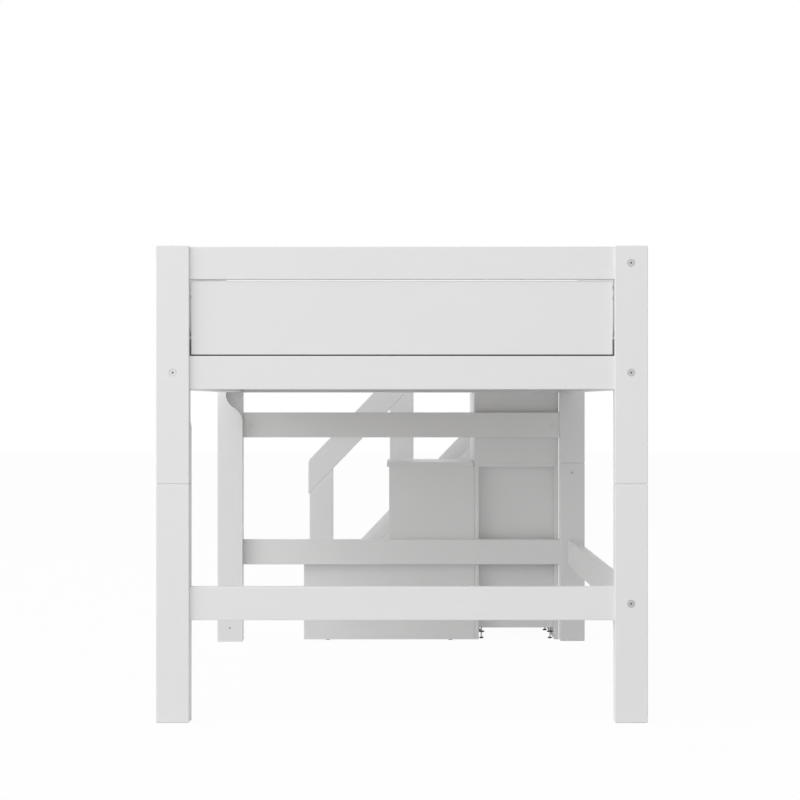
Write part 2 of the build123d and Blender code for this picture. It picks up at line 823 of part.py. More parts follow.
finish(hinge_frame_leaves, "hinge_frame_leaves")
with BuildPart() as hinge_door_leaves:
    add(door_leaves)
finish(hinge_door_leaves, "hinge_door_leaves")

# Balustrade: boards parallel to the line through the nosings, and posts between them
slant_factor = (1 + slope**2) ** 0.5
handrail_slant = handrail_width * slant_factor
stringer_slant = stringer_width * slant_factor


def nosing_line(x, lift=0):
    """Height over the floor, at x, of a line parallel to the nosings and lift above them."""
    return (x - nosings[0]) * slope + lift


handrail_top_lift = step_rise + rail_above_nosing
rail_lift = handrail_top_lift - handrail_slant
handrail_left = nosings[0] - handrail_overhang
bend_x = nosings[0] + (bed_height - handrail_top_lift) / slope
under_x = bend_x + (handrail_slant - handrail_width) / slope
rail_under = bed_height - handrail_width
with BuildPart() as handrail:
    with BuildSketch(Plane.XZ.offset(-stair_far)):
        with BuildLine():
            Polyline(
                (handrail_left, nosing_line(handrail_left, rail_lift)),
                (handrail_left, nosing_line(handrail_left, handrail_top_lift)),
                (bend_x, bed_height),
                (under_x, rail_under),
                close=True,
            )
        make_face()
        fillet(vertices().sort_by(Axis.X)[:2].sort_by(Axis.Y)[-1], handrail_corner)
    extrude(amount=-balustrade_thickness)
finish(handrail, "handrail")

with BuildPart() as landing_rail:
    with BuildSketch(Plane.XZ.offset(-stair_far)):
        with BuildLine():
            Polyline(
                (bend_x, bed_height),
                (stair_right, bed_height),
                (stair_right, rail_under),
                (under_x, rail_under),
                close=True,
            )
        make_face()
    extrude(amount=-balustrade_thickness)
finish(landing_rail, "landing_rail")

with BuildPart() as stringer:
    with BuildSketch(Plane.XZ.offset(-stair_far)):
        with BuildLine():
            Polyline(
                (nosings[0], stringer_floor_gap),
                (nosings[0], stringer_slant),
                (stair_right, nosing_line(stair_right, stringer_slant)),
                (stair_right, nosing_line(stair_right)),
                (nosings[0] + stringer_floor_gap / slope, stringer_floor_gap),
                close=True,
            )
        make_face()
    extrude(amount=-balustrade_thickness)
finish(drill(stringer.part), "stringer")

baluster_lefts = [*nosings, stair_right - baluster_width]
with BuildPart() as balustrade_posts:
    for left in baluster_lefts:
        right = left + baluster_width
        tops = [(x, min(nosing_line(x, rail_lift), rail_under)) for x in (left, right)]
        corner = [(under_x, rail_under)] if left < under_x < right else []
        with BuildSketch(Plane.XZ.offset(-stair_far)):
            with BuildLine():
                Polyline(
                    (left, nosing_line(left, stringer_slant)),
                    tops[0],
                    *corner,
                    tops[1],
                    (right, nosing_line(right, stringer_slant)),
                    close=True,
                )
            make_face()
        extrude(amount=-balustrade_thickness)
finish(balustrade_posts, "balustrade_posts")

for name, pieces in hardware.items():
    with BuildPart() as group:
        add(pieces)
    finish(group, name)
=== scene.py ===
"""Looks of the mid sleeper bed: lacquered pine frame, foil-faced storage stairs and a quilted mattress.

Metres, +Z up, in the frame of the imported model: X across the bed, Y along it towards the stairs.
"""

import json
import logging
import math
from dataclasses import dataclass, field
from enum import Enum
from itertools import product
from typing import Sequence

import bmesh
import bpy
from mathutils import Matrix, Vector
from mathutils.bvhtree import BVHTree


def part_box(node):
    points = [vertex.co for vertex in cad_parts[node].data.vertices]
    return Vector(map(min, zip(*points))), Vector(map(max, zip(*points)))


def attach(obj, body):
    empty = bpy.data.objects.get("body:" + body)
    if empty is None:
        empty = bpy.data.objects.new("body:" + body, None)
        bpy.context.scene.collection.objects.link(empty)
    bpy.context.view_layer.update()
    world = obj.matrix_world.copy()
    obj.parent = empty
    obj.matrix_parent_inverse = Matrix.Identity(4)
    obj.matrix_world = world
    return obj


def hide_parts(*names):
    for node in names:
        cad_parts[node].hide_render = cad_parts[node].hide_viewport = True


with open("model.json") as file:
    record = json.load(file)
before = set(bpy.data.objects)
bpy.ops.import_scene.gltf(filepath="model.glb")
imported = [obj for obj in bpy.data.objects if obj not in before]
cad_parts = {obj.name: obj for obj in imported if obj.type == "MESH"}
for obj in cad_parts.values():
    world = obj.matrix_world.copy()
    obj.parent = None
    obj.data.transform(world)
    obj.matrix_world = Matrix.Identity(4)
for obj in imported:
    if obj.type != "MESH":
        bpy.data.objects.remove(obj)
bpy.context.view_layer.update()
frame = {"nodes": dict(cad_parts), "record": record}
LOG = logging.getLogger("mid_sleeper")

Colour = tuple[float, float, float, float]

# Socket types of the shared node groups
FLOAT = "NodeSocketFloat"
VECTOR = "NodeSocketVector"

# Ranges of a mask: all of it, and the band that most of a noise texture's values fall in
FULL = (0.0, 1.0)
NOISE_BAND = (0.3, 0.7)

# Points closer than this, in metres, are one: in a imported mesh, and in a turned shape
MERGE_PACKED = 1e-5
MERGE_TURNED = 1e-6

# What every bevel is given
ROUNDING = {"profile": 0.5, "affect": "EDGES", "material": -1}

# Faces that turn less than this many degrees are one flat face
FLAT_ANGLE = 1.0


class Grain(Enum):
    """Direction that a board's grain runs in."""

    ACROSS = "across"
    ALONG = "along"
    UP = "up"
    SLANTED = "slanted"


# Rise and run of the stairs in metres, and the slope of the line through their nosings
STAIR_RISE = 0.321
STAIR_RUN = 0.308
STAIR_ANGLE = math.atan2(STAIR_RISE, STAIR_RUN)

# Scale of a pattern along the grain, against 1 across it
STRETCH = 0.04
GRAIN_STRETCH = {
    Grain.ACROSS: (STRETCH, 1.0, 1.0),
    Grain.ALONG: (1.0, STRETCH, 1.0),
    Grain.UP: (1.0, 1.0, STRETCH),
    Grain.SLANTED: (STRETCH, 1.0, 1.0),
}


class NodeSheet:
    """Small helper that adds and joins shader nodes in one node tree."""

    def __init__(self, tree: bpy.types.NodeTree) -> None:
        """Keep the tree that the nodes go into."""
        self.tree = tree

    def add(self, kind: str, inputs: dict | None = None, **settings: object) -> bpy.types.Node:
        """Add one node.

        Args:
            kind: Blender's type name of the node.
            inputs: values or sockets for its inputs, by socket name or number.
            settings: attributes of the node.

        Returns:
            The new node.
        """
        node = self.tree.nodes.new(kind)
        for name, value in settings.items():
            setattr(node, name, value)
        for name, value in (inputs or {}).items():
            if isinstance(value, bpy.types.NodeSocket):
                self.tree.links.new(value, node.inputs[name])
            else:
                node.inputs[name].default_value = value
        return node

    def feed(self, node: bpy.types.Node, sockets: dict[str, bpy.types.NodeSocket]) -> None:
        """Link sockets to a node's inputs, by the inputs' names."""
        for name, socket in sockets.items():
            self.tree.links.new(socket, node.inputs[name])

    def group(self, name: str, inputs: dict[str, object]) -> bpy.types.bpy_prop_collection:
        """Outputs of a shared node group that is placed in this tree."""
        return self.add("ShaderNodeGroup", inputs, node_tree=bpy.data.node_groups[name]).outputs

    def math(self, operation: str, first: object, second: object = 0.0) -> bpy.types.NodeSocket:
        """Result socket of a Math node on two values or sockets."""
        return self.add("ShaderNodeMath", {0: first, 1: second}, operation=operation).outputs[0]

    def remap(
        self, value: object, low: float, high: float, new_low: float, new_high: float
    ) -> bpy.types.NodeSocket:
        """Result socket of a Map Range node from low..high to new_low..new_high."""
        span = {"From Min": low, "From Max": high, "To Min": new_low, "To Max": new_high}
        return self.add("ShaderNodeMapRange", {"Value": value, **span}).outputs["Result"]

    def noise(self, vector: object, scale: object, detail: float = 2.0) -> bpy.types.NodeSocket:
        """Value socket of a Noise texture."""
        inputs = {"Vector": vector, "Scale": scale, "Detail": detail}
        return self.add("ShaderNodeTexNoise", inputs).outputs["Fac"]

    def blend(self, factor: object, first: object, second: object) -> bpy.types.NodeSocket:
        """Colour socket of a Mix node between two colours."""
        mix = self.add("ShaderNodeMix", {0: factor, 6: first, 7: second}, data_type="RGBA")
        return mix.outputs[2]


def new_group(
    name: str, inputs: dict[str, str], outputs: dict[str, str]
) -> tuple[NodeSheet, bpy.types.Node, bpy.types.Node]:
    """Start a shader node group.

    Args:
        name: name of the group.
        inputs: its input names with their socket types.
        outputs: its output names with their socket types.

    Returns:
        The group's node sheet, its input node and its output node.
    """
    tree = bpy.data.node_groups.new(name, "ShaderNodeTree")
    for socket, kind in inputs.items():
        tree.interface.new_socket(name=socket, in_out="INPUT", socket_type=kind)
    for socket, kind in outputs.items():
        tree.interface.new_socket(name=socket, in_out="OUTPUT", socket_type=kind)
    sheet = NodeSheet(tree)
    return sheet, sheet.add("NodeGroupInput"), sheet.add("NodeGroupOutput")


def fibre_group() -> bpy.types.NodeTree:
    """Wood fibre: long streaks and growth rings on coordinates already stretched along the grain.

    Returns:
        The node group, with outputs Streak, Ring and Height, each from 0 to 1.
    """
    push, ring_share, streak_share = 0.05, 0.35, 0.65
    sheet, source, result = new_group(
        "wood_fibre",
        {"Vector": VECTOR, "Ring Scale": FLOAT, "Streak Scale": FLOAT},
        {"Streak": FLOAT, "Ring": FLOAT, "Height": FLOAT},
    )
    vector, ring_scale, streak_scale = list(source.outputs)[:3]
    wander = sheet.noise(vector, scale=9.0, detail=3.0)
    even = sheet.add("ShaderNodeCombineXYZ", {"X": wander, "Y": wander, "Z": wander})
    pushed = sheet.add("ShaderNodeVectorMath", {0: even.outputs[0], "Scale": push}, operation="SCALE")
    spread = sheet.add("ShaderNodeVectorMath", {0: vector, 1: pushed.outputs[0]}, operation="ADD")
    ring = sheet.add(
        "ShaderNodeTexWave",
        {"Vector": spread.outputs[0], "Scale": ring_scale, "Distortion": 1.5, "Detail": 2.0},
        wave_type="RINGS",
        rings_direction="SPHERICAL",
        wave_profile="SAW",
    ).outputs["Fac"]
    streaks = sheet.add(
        "ShaderNodeTexNoise",
        {"Vector": vector, "Scale": streak_scale, "Detail": 6.0, "Roughness": 0.6},
    )
    streak = sheet.remap(streaks.outputs["Fac"], *NOISE_BAND, 0.0, 1.0)
    ring_height = sheet.math("MULTIPLY", ring, ring_share)
    height = sheet.math("ADD", ring_height, sheet.math("MULTIPLY", streak, streak_share))
    sheet.feed(result, {"Streak": streak, "Ring": ring, "Height": height})
    return sheet.tree


def coat_group() -> bpy.types.NodeTree:
    """Sprayed or rolled coat: a fine peel, and broad soft patches of sheen and faint dust.

    Returns:
        The node group, with outputs Peel, Patch and Dust, each from 0 to 1.
    """
    speck_scale, speck_size = 210.0, 0.12
    sheet, source, result = new_group(
        "sprayed_coat",
        {"Vector": VECTOR, "Peel Scale": FLOAT},
        {"Peel": FLOAT, "Patch": FLOAT, "Dust": FLOAT},
    )
    vector, peel_scale = list(source.outputs)[:2]
    peel = sheet.noise(vector, peel_scale, detail=3.0)
    patch = sheet.remap(sheet.noise(vector, scale=3.2, detail=4.0), *NOISE_BAND, 0.0, 1.0)
    specks = sheet.add("ShaderNodeTexVoronoi", {"Vector": vector, "Scale": speck_scale})
    speck = sheet.remap(specks.outputs["Distance"], 0.0, speck_size, 1.0, 0.0)
    dust = sheet.math("MULTIPLY", speck, patch)
    sheet.feed(result, {"Peel": peel, "Patch": patch, "Dust": dust})
    return sheet.tree


def knit_group() -> bpy.types.NodeTree:
    """Knitted cloth: rows of small loops, with slubs that vary over the surface.

    Returns:
        The node group, with outputs Height, Gap and Slub, each from 0 to 1; the second is a mask of
        painted shade in the hollows between the loops.
    """
    weave_share, slub_share, gap_level = 0.8, 0.2, 0.35
    slub_band = (0.35, 0.65)
    sheet, source, result = new_group(
        "knitted_cloth",
        {"Vector": VECTOR, "Stitch Scale": FLOAT},
        {"Height": FLOAT, "Hollow Shade": FLOAT, "Slub": FLOAT},
    )
    vector, scale = list(source.outputs)[:2]
    bands = {}
    for direction in ("X", "Y", "Z"):
        wave = sheet.add(
            "ShaderNodeTexWave",
            {"Vector": vector, "Scale": scale, "Distortion": 0.4, "Detail": 1.0},
            wave_type="BANDS",
            bands_direction=direction,
        )
        bands[direction] = wave.outputs["Fac"]
    weave = sheet.math("MULTIPLY", sheet.math("MAXIMUM", bands["X"], bands["Z"]), bands["Y"])
    slub = sheet.remap(sheet.noise(vector, scale=60.0, detail=4.0), *slub_band, 0.0, 1.0)
    woven = sheet.math("MULTIPLY", weave, weave_share)
    height = sheet.math("ADD", woven, sheet.math("MULTIPLY", slub, slub_share))
    # Painted shade: darkest where the loops are lowest, in the hollows between them
    hollow_shade = sheet.remap(weave, 0.0, gap_level, 1.0, 0.0)
    sheet.feed(result, {"Height": height, "Hollow Shade": hollow_shade, "Slub": slub})
    return sheet.tree


@dataclass(frozen=True)
class Finish:
    """What every finish has: a name, a colour, a roughness, and how far that falls and rises."""

    name: str
    colour: Colour
    roughness: float
    play: tuple[float, float] = (0.05, 0.05)

    def start(self) -> tuple[bpy.types.Material, NodeSheet, bpy.types.Node]:
        """New material with a Principled shader in the finish's plain colour.

        Returns:
            The material, its node sheet and its shader.
        """
        material = bpy.data.materials.new(self.name)
        material.use_nodes = True
        material.node_tree.nodes.clear()
        sheet = NodeSheet(material.node_tree)
        plain = {"Base Color": self.colour, "Roughness": self.roughness}
        shader = sheet.add("ShaderNodeBsdfPrincipled", plain)
        sheet.add("ShaderNodeOutputMaterial", {"Surface": shader.outputs[0]})
        return material, sheet, shader

    @staticmethod
    def place(sheet: NodeSheet, grain: Grain | None = None) -> bpy.types.NodeSocket:
        """Object coordinates, turned and stretched along the grain when one is given.

        Args:
            sheet: the material's node sheet.
            grain: direction of the grain, if the pattern follows one.

        Returns:
            The coordinates' socket.
        """
        vector = sheet.add("ShaderNodeTexCoord").outputs["Object"]
        if grain is Grain.SLANTED:
            turn = {"Vector": vector, "Rotation": (0.0, STAIR_ANGLE, 0.0)}
            vector = sheet.add("ShaderNodeMapping", turn).outputs[0]
        if grain:
            stretch = {"Vector": vector, "Scale": GRAIN_STRETCH[grain]}
            vector = sheet.add("ShaderNodeMapping", stretch).outputs[0]
        return vector

    @staticmethod
    def bump(sheet: NodeSheet, shader: bpy.types.Node, height: object, distance: float) -> None:
        """Feed a height to the shader's normal, distance metres deep."""
        bump = sheet.add("ShaderNodeBump", {"Height": height, "Distance": distance, "Strength": 1.0})
        sheet.feed(shader, {"Normal": bump.outputs[0]})

    def darkened(self, share: float) -> Colour:
        """The finish's colour with each channel at a share of its level."""
        return tuple(channel * share for channel in self.colour[:3]) + (1.0,)

    def vary_roughness(
        self, sheet: NodeSheet, shader: bpy.types.Node, mask: object, band: tuple[float, float]
    ) -> None:
        """Let the roughness follow a mask, over the band that the mask's values fall in."""
        less, more = self.play
        rough = sheet.remap(mask, *band, self.roughness - less, self.roughness + more)
        sheet.feed(shader, {"Roughness": rough})


@dataclass(frozen=True)
class Lacquer(Finish):
    """White satin lacquer over wood, with the grain just felt through it."""

    play: tuple[float, float] = (0.05, 0.06)
    grain: Grain = Grain.ALONG
    grain_depth: float = 0.000035
    tone: float = 0.006
    ring_scale: float = 14.0
    streak_scale: float = 160.0
    peel_scale: float = 700.0
    peel_share: float = 0.25
    dust_share: float = 0.05
    dust_colour: Colour = (0.5, 0.5, 0.5, 1.0)

    def make(self) -> bpy.types.Material:
        """Build the material.

        Returns:
            The new material.
        """
        material, sheet, shader = self.start()
        vector = self.place(sheet, self.grain)
        scales = {"Ring Scale": self.ring_scale, "Streak Scale": self.streak_scale}
        fibre = sheet.group("wood_fibre", {"Vector": vector, **scales})
        coat = sheet.group("sprayed_coat", {"Vector": self.place(sheet), "Peel Scale": self.peel_scale})
        mottled = sheet.blend(fibre["Streak"], self.darkened(1 - 2 * self.tone), self.colour)
        dust = sheet.math("MULTIPLY", coat["Dust"], self.dust_share)
        sheet.feed(shader, {"Base Color": sheet.blend(dust, mottled, self.dust_colour)})
        self.vary_roughness(sheet, shader, coat["Patch"], FULL)
        peel = sheet.math("MULTIPLY", coat["Peel"], self.peel_share)
        self.bump(sheet, shader, sheet.math("ADD", fibre["Height"], peel), self.grain_depth)
        return material


@dataclass(frozen=True)
class FoilBoard(Finish):
    """Smooth foil-faced board, with a fine even emboss."""

    play: tuple[float, float] = (0.04, 0.05)
    emboss_scale: float = 1300.0
    emboss_depth: float = 0.00004
    shade: float = 0.985

    def make(self) -> bpy.types.Material:
        """Build the material.

        Returns:
            The new material.
        """
        material, sheet, shader = self.start()
        emboss = {"Vector": self.place(sheet), "Peel Scale": self.emboss_scale}
        coat = sheet.group("sprayed_coat", emboss)
        clouded = sheet.blend(coat["Patch"], self.darkened(self.shade), self.colour)
        sheet.feed(shader, {"Base Color": clouded})
        self.vary_roughness(sheet, shader, coat["Patch"], FULL)
        self.bump(sheet, shader, coat["Peel"], self.emboss_depth)
        return material


@dataclass(frozen=True)
class RawPine(Finish):
    """Planed, unfinished softwood with growth rings, streaks and a few knots."""

    play: tuple[float, float] = (0.06, 0.06)
    late_colour: Colour = (0.58, 0.44, 0.29, 1.0)
    knot_colour: Colour = (0.20, 0.10, 0.045, 1.0)
    grain: Grain = Grain.ALONG
    knots: bool = True
    ring_scale: float = 42.0
    streak_scale: float = 240.0
    ring_power: float = 2.2
    ring_share: float = 0.55
    streak_share: float = 0.22
    knot_scale: float = 5.5
    knot_rim: tuple[float, float] = (0.05, 0.085)
    ragged_scale: float = 30.0
    ragged_share: float = 0.03
    fibre_depth: float = 0.00015

    def make(self) -> bpy.types.Material:
        """Build the material.

        Returns:
            The new material.
        """
        material, sheet, shader = self.start()
        vector = self.place(sheet, self.grain)
        scales = {"Ring Scale": self.ring_scale, "Streak Scale": self.streak_scale}
        fibre = sheet.group("wood_fibre", {"Vector": vector, **scales})
        late = sheet.math("POWER", fibre["Ring"], self.ring_power)
        ring = sheet.math("MULTIPLY", late, self.ring_share)
        streak = sheet.math("MULTIPLY", fibre["Streak"], self.streak_share)
        wood = sheet.blend(sheet.math("ADD", ring, streak), self.colour, self.late_colour)
        if self.knots:
            wood = sheet.blend(self.knot_mask(sheet), wood, self.knot_colour)
        sheet.feed(shader, {"Base Color": wood})
        self.vary_roughness(sheet, shader, fibre["Streak"], FULL)
        self.bump(sheet, shader, fibre["Height"], self.fibre_depth)
        return material

    def knot_mask(self, sheet: NodeSheet) -> bpy.types.NodeSocket:
        """Scatter the knots, each with a ragged rim.

        Args:
            sheet: the material's node sheet.

        Returns:
            A socket that is 1 in a knot and 0 outside it.
        """
        vector = self.place(sheet)
        spots = {"Vector": vector, "Scale": self.knot_scale, "Randomness": 1.0}
        cells = sheet.add("ShaderNodeTexVoronoi", spots)
        ragged = sheet.noise(vector, self.ragged_scale, detail=3.0)
        waver = sheet.math("MULTIPLY", ragged, self.ragged_share)
        edge = sheet.math("ADD", cells.outputs["Distance"], waver)
        return sheet.remap(edge, *self.knot_rim, 1.0, 0.0)


@dataclass(frozen=True)
class Moulded(Finish):
    """Moulded plastic with a spark-eroded skin and broad clouds of tone and sheen."""

    metallic: float = 0.0
    skin_scale: float = 1600.0
    cloud_scale: float = 40.0
    detail: float = 2.0
    shade: float = 0.93
    depth: float = 0.00004

    def make(self) -> bpy.types.Material:
        """Build the material.

        Returns:
            The new material.
        """
        material, sheet, shader = self.start()
        shader.inputs["Metallic"].default_value = self.metallic
        vector = self.place(sheet)
        skin = sheet.noise(vector, self.skin_scale, self.detail)
        cloud = sheet.noise(vector, self.cloud_scale, self.detail)
        clouded = sheet.blend(cloud, self.darkened(self.shade), self.colour)
        sheet.feed(shader, {"Base Color": clouded})
        self.vary_roughness(sheet, shader, cloud, NOISE_BAND)
        self.bump(sheet, shader, skin, self.depth)
        return material


@dataclass(frozen=True)
class Metal(Moulded):
    """Zinc-plated steel with a fine satin scatter, clouded as the plastic is."""

    play: tuple[float, float] = (0.07, 0.08)
    metallic: float = 1.0
    skin_scale: float = 900.0
    cloud_scale: float = 45.0
    detail: float = 3.0
    shade: float = 0.82
    depth: float = 0.00003


@dataclass(frozen=True)
class Cloth(Finish):
    """Knitted cover cloth with a soft nap, and painted shade in the hollows between its loops."""

    # Colour that the slubs lean towards, and the painted shade of the hollows between the loops
    slub_and_hollow_shade_colour: Colour = (0.5, 0.5, 0.5, 1.0)
    stitch_scale: float = 120.0
    depth: float = 0.0004
    nap: float = 0.25
    nap_roughness: float = 0.5
    specular: float = 0.25
    slub_share: float = 0.12
    hollow_shade_share: float = 0.55

    def make(self) -> bpy.types.Material:
        """Build the material.

        Returns:
            The new material.
        """
        material, sheet, shader = self.start()
        shader.inputs["Sheen Weight"].default_value = self.nap
        shader.inputs["Sheen Roughness"].default_value = self.nap_roughness
        shader.inputs["Specular IOR Level"].default_value = self.specular
        stitches = {"Vector": self.place(sheet), "Stitch Scale": self.stitch_scale}
        knit = sheet.group("knitted_cloth", stitches)
        slubs = sheet.math("MULTIPLY", knit["Slub"], self.slub_share)
        # Painted shade: the hollows between the loops are pulled towards the dark colour
        painted_hollow_shade = sheet.math("MULTIPLY", knit["Hollow Shade"], self.hollow_shade_share)
        worn = sheet.blend(slubs, self.colour, self.slub_and_hollow_shade_colour)
        sheet.feed(shader, {"Base Color": sheet.blend(painted_hollow_shade, worn, self.slub_and_hollow_shade_colour)})
        self.vary_roughness(sheet, shader, knit["Slub"], FULL)
        self.bump(sheet, shader, knit["Height"], self.depth)
        return material


WHITE: Colour = (0.80, 0.80, 0.80, 1.0)
FOIL: Colour = (0.79, 0.79, 0.79, 1.0)
PALE_PINE: Colour = (0.76, 0.66, 0.52, 1.0)

LACQUERS = {grain: Lacquer(f"lacquer_{grain.value}", WHITE, 0.38, grain=grain) for grain in Grain}
PINES = {
    grain: RawPine(f"pine_{grain.value}", PALE_PINE, 0.62, grain=grain, knots=grain is not Grain.UP)
    for grain in (Grain.ACROSS, Grain.ALONG, Grain.UP)
}
LIMED_PINE = RawPine(
    "limed_pine",
    (0.80, 0.78, 0.745, 1.0),
    0.55,
    late_colour=(0.70, 0.665, 0.61, 1.0),
    grain=Grain.ACROSS,
    knots=False,
)
FOIL_FINISH = FoilBoard("foil_board", FOIL, 0.42)
ZINC = Metal("zinc_steel", (0.60, 0.61, 0.62, 1.0), 0.36)
BOLT_STEEL = Metal("bolt_steel", (0.50, 0.505, 0.51, 1.0), 0.42)
# Near-black steel: painted shade in the bolt sockets, and on the sunk screw heads
RECESS_SHADE_STEEL = Metal("recess_shade_steel", (0.16, 0.16, 0.17, 1.0), 0.5)
WHITE_PLASTIC = Moulded("white_plastic", (0.78, 0.78, 0.77, 1.0), 0.45)
# Dark grey plastic of the glides and feet; also painted shade in the holes of the larger caps
DARK_PLASTIC_AND_HOLE_SHADE = Moulded("grey_plastic", (0.10, 0.10, 0.105, 1.0), 0.5)
# Cover cloths: the second colour of each is the painted shade in the hollows between its loops, which the
# slubs lean towards as well
COVER_TOP = Cloth("cover_top", (0.80, 0.80, 0.79, 1.0), 0.85, slub_and_hollow_shade_colour=(0.55, 0.55, 0.55, 1.0))
# Charcoal border band, kept near black as painted shade that fills the gaps beside the head panel
COVER_BORDER_AND_SHADE = Cloth(
    "cover_border_and_shade",
    (0.045, 0.046, 0.050, 1.0),
    0.9,
    slub_and_hollow_shade_colour=(0.008, 0.008, 0.009, 1.0),
    stitch_scale=70.0,
    depth=0.0008,
)
PIPING = Cloth(
    "cover_piping", (0.28, 0.28, 0.29, 1.0), 0.8, slub_and_hollow_shade_colour=(0.1, 0.1, 0.1, 1.0), stitch_scale=260.0
)


class Wardrobe:
    """Every finish of the bed, built once and handed out by name."""

    def __init__(self) -> None:
        """Make the shared node groups and start with no material."""
        for build in (fibre_group, coat_group, knit_group):
            build()
        self.made: dict[str, bpy.types.Material] = {}

    def get(self, finish: Finish) -> bpy.types.Material:
        """Material of a finish, built when first asked for."""
        if finish.name not in self.made:
            self.made[finish.name] = finish.make()
        return self.made[finish.name]


def node_body(node: str) -> str:
    """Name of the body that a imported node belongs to."""
    for body, nodes in frame["record"]["behaviour"]["bodies"].items():
        if node in nodes:
            return body
    raise KeyError(node)


def new_piece(
    name: str, shape: bmesh.types.BMesh, finishes: Sequence[bpy.types.Material], smooth: bool = False
) -> bpy.types.Object:
    """Turn a bmesh into a scene object at the origin.

    Args:
        name: name of the piece.
        shape: its shape, freed here.
        finishes: its material slots, in order.
        smooth: whether its faces are shaded smooth.

    Returns:
        The new object.
    """
    mesh = bpy.data.meshes.new(name)
    shape.to_mesh(mesh)
    shape.free()
    if smooth:
        mesh.shade_smooth()
    piece = bpy.data.objects.new(name, mesh)
    bpy.context.scene.collection.objects.link(piece)
    for finish in finishes:
        mesh.materials.append(finish)
    return piece


def stand_for(piece: bpy.types.Object, node: str, alone: bool = True) -> None:
    """Let a piece ride with, and take the place of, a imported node.

    Args:
        piece: the new piece.
        node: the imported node.
        alone: whether this piece says that it replaces the node.
    """
    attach(piece, node_body(node))
    if alone:
        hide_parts(node)
    LOG.info("%s: %d faces, for %s", piece.name, len(piece.data.polygons), node)


def paint(node: str, material: bpy.types.Material) -> None:
    """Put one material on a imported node.

    Args:
        node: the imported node.
        material: what it is finished in.
    """
    target = frame["nodes"][node]
    if target.material_slots:
        for place in target.material_slots:
            place.material = material
    else:
        target.data.materials.append(material)
    LOG.info("%s: finished as %s", node, material.name)


def merged_copy(node: str) -> bmesh.types.BMesh:
    """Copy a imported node's mesh, with its loose triangles joined and its flat faces made whole.

    Args:
        node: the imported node.

    Returns:
        The copy.
    """
    shape = bmesh.new()
    shape.from_mesh(frame["nodes"][node].data)
    bmesh.ops.remove_doubles(shape, verts=shape.verts, dist=MERGE_PACKED)
    flat = math.radians(FLAT_ANGLE)
    bmesh.ops.dissolve_limit(shape, angle_limit=flat, verts=shape.verts, edges=shape.edges)
    return shape


def soften(
    shape: bmesh.types.BMesh, width: float, segments: int = 2, least_angle: float = 40.0
) -> None:
    """Round every edge sharper than least_angle degrees.

    Args:
        shape: the shape to work on.
        width: width of the rounding.
        segments: facets of the rounding.
        least_angle: edges that turn less stay as they are.
    """
    least = math.radians(least_angle)
    sharp = [edge for edge in shape.edges if edge.is_manifold and edge.calc_face_angle(0.0) > least]
    bmesh.ops.bevel(
        shape, geom=sharp, offset=width, segments=segments, clamp_overlap=True, **ROUNDING
    )


def turned(profile: Sequence[tuple[float, float]], foot: Vector, steps: int) -> bmesh.types.BMesh:
    """Turn a profile about an upright line, as on a lathe.

    Args:
        profile: radius and height of each point, from the foot up, both ends on the line.
        foot: where the line starts.
        steps: facets round the piece.

    Returns:
        The closed shape.
    """
    shape = bmesh.new()
    points = [shape.verts.new((foot.x + radius, foot.y, foot.z + height)) for radius, height in profile]
    edges = [shape.edges.new(pair) for pair in zip(points, points[1:])]
    axis = (0.0, 0.0, 1.0)
    bmesh.ops.spin(
        shape, geom=points + edges, cent=foot, axis=axis, angle=math.tau, steps=steps, use_merge=True
    )
    bmesh.ops.remove_doubles(shape, verts=shape.verts, dist=MERGE_TURNED)
    bmesh.ops.recalc_face_normals(shape, faces=shape.faces)
    return shape


def join_shape(shape: bmesh.types.BMesh, other: bmesh.types.BMesh) -> None:
    """Add another shape's faces to this one.

    Args:
        shape: the shape that grows.
        other: the shape that is added, freed here.
    """
    mesh = bpy.data.meshes.new("joined")
    other.to_mesh(mesh)
    other.free()
    shape.from_mesh(mesh)
    bpy.data.meshes.remove(mesh)


def settle_modifiers(piece: bpy.types.Object) -> None:
    """Keep what a piece's modifiers made as its own mesh, and drop the modifiers.

    Args:
        piece: the piece to settle.
    """
    piece_now = piece.evaluated_get(bpy.context.evaluated_depsgraph_get())
    settled = bpy.data.meshes.new_from_object(piece_now)
    piece.modifiers.clear()
    piece.data = settled


def ramp(value: float, low: float, high: float) -> float:
    """Smooth rise from 0 at low to 1 at high."""
    share = max(0.0, min(1.0, (value - low) / (high - low)))
    return share * share * (3 - 2 * share)


def rim_place(share: float, half_width: float, half_length: float) -> tuple[float, float]:
    """Place on a rectangle's outline.

    Args:
        share: how far round, from 0 to 4, with 1 for each side.
        half_width: half of the rectangle across.
        half_length: half of the rectangle along.

    Returns:
        The place across and along, from the rectangle's middle.
    """
    side, along = int(share), share % 1.0 * 2 - 1
    corners = [
        (half_width, along * half_length),
        (-along * half_width, half_length),
        (-half_width, -along * half_length),
        (along * half_width, -half_length),
    ]
    return corners[side]


def rim_outward(share: float, corner_share: float) -> Vector:
    """Direction away from a rectangle's outline, turning smoothly through each corner.

    Args:
        share: how far round, from 0 to 4, with 1 for each side.
        corner_share: part of a side on which the direction turns.

    Returns:
        The level direction, one unit long.
    """
    side, along = int(share), share % 1.0
    into_next = ramp(along, 1 - corner_share, 1 + corner_share)
    from_last = 1 - ramp(along, -corner_share, corner_share)
    angle = (side + (into_next - from_last)) * math.pi / 2
    return Vector((math.cos(angle), math.sin(angle), 0.0))


@dataclass
class Uprights:
    """Legs and posts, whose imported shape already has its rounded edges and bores: they get a finish."""

    finishes: Wardrobe
    ends: tuple[str, ...] = ("front", "rear")
    sides: tuple[str, ...] = ("left", "right")
    kinds: tuple[str, ...] = ("leg", "post")

    def dress(self) -> None:
        """Give each upright its lacquer, with the grain upwards."""
        lacquer = self.finishes.get(LACQUERS[Grain.UP])
        for end, side, kind in product(self.ends, self.sides, self.kinds):
            paint(f"{end}_{side}_{kind}", lacquer)
        paint("rear_guard_post", lacquer)


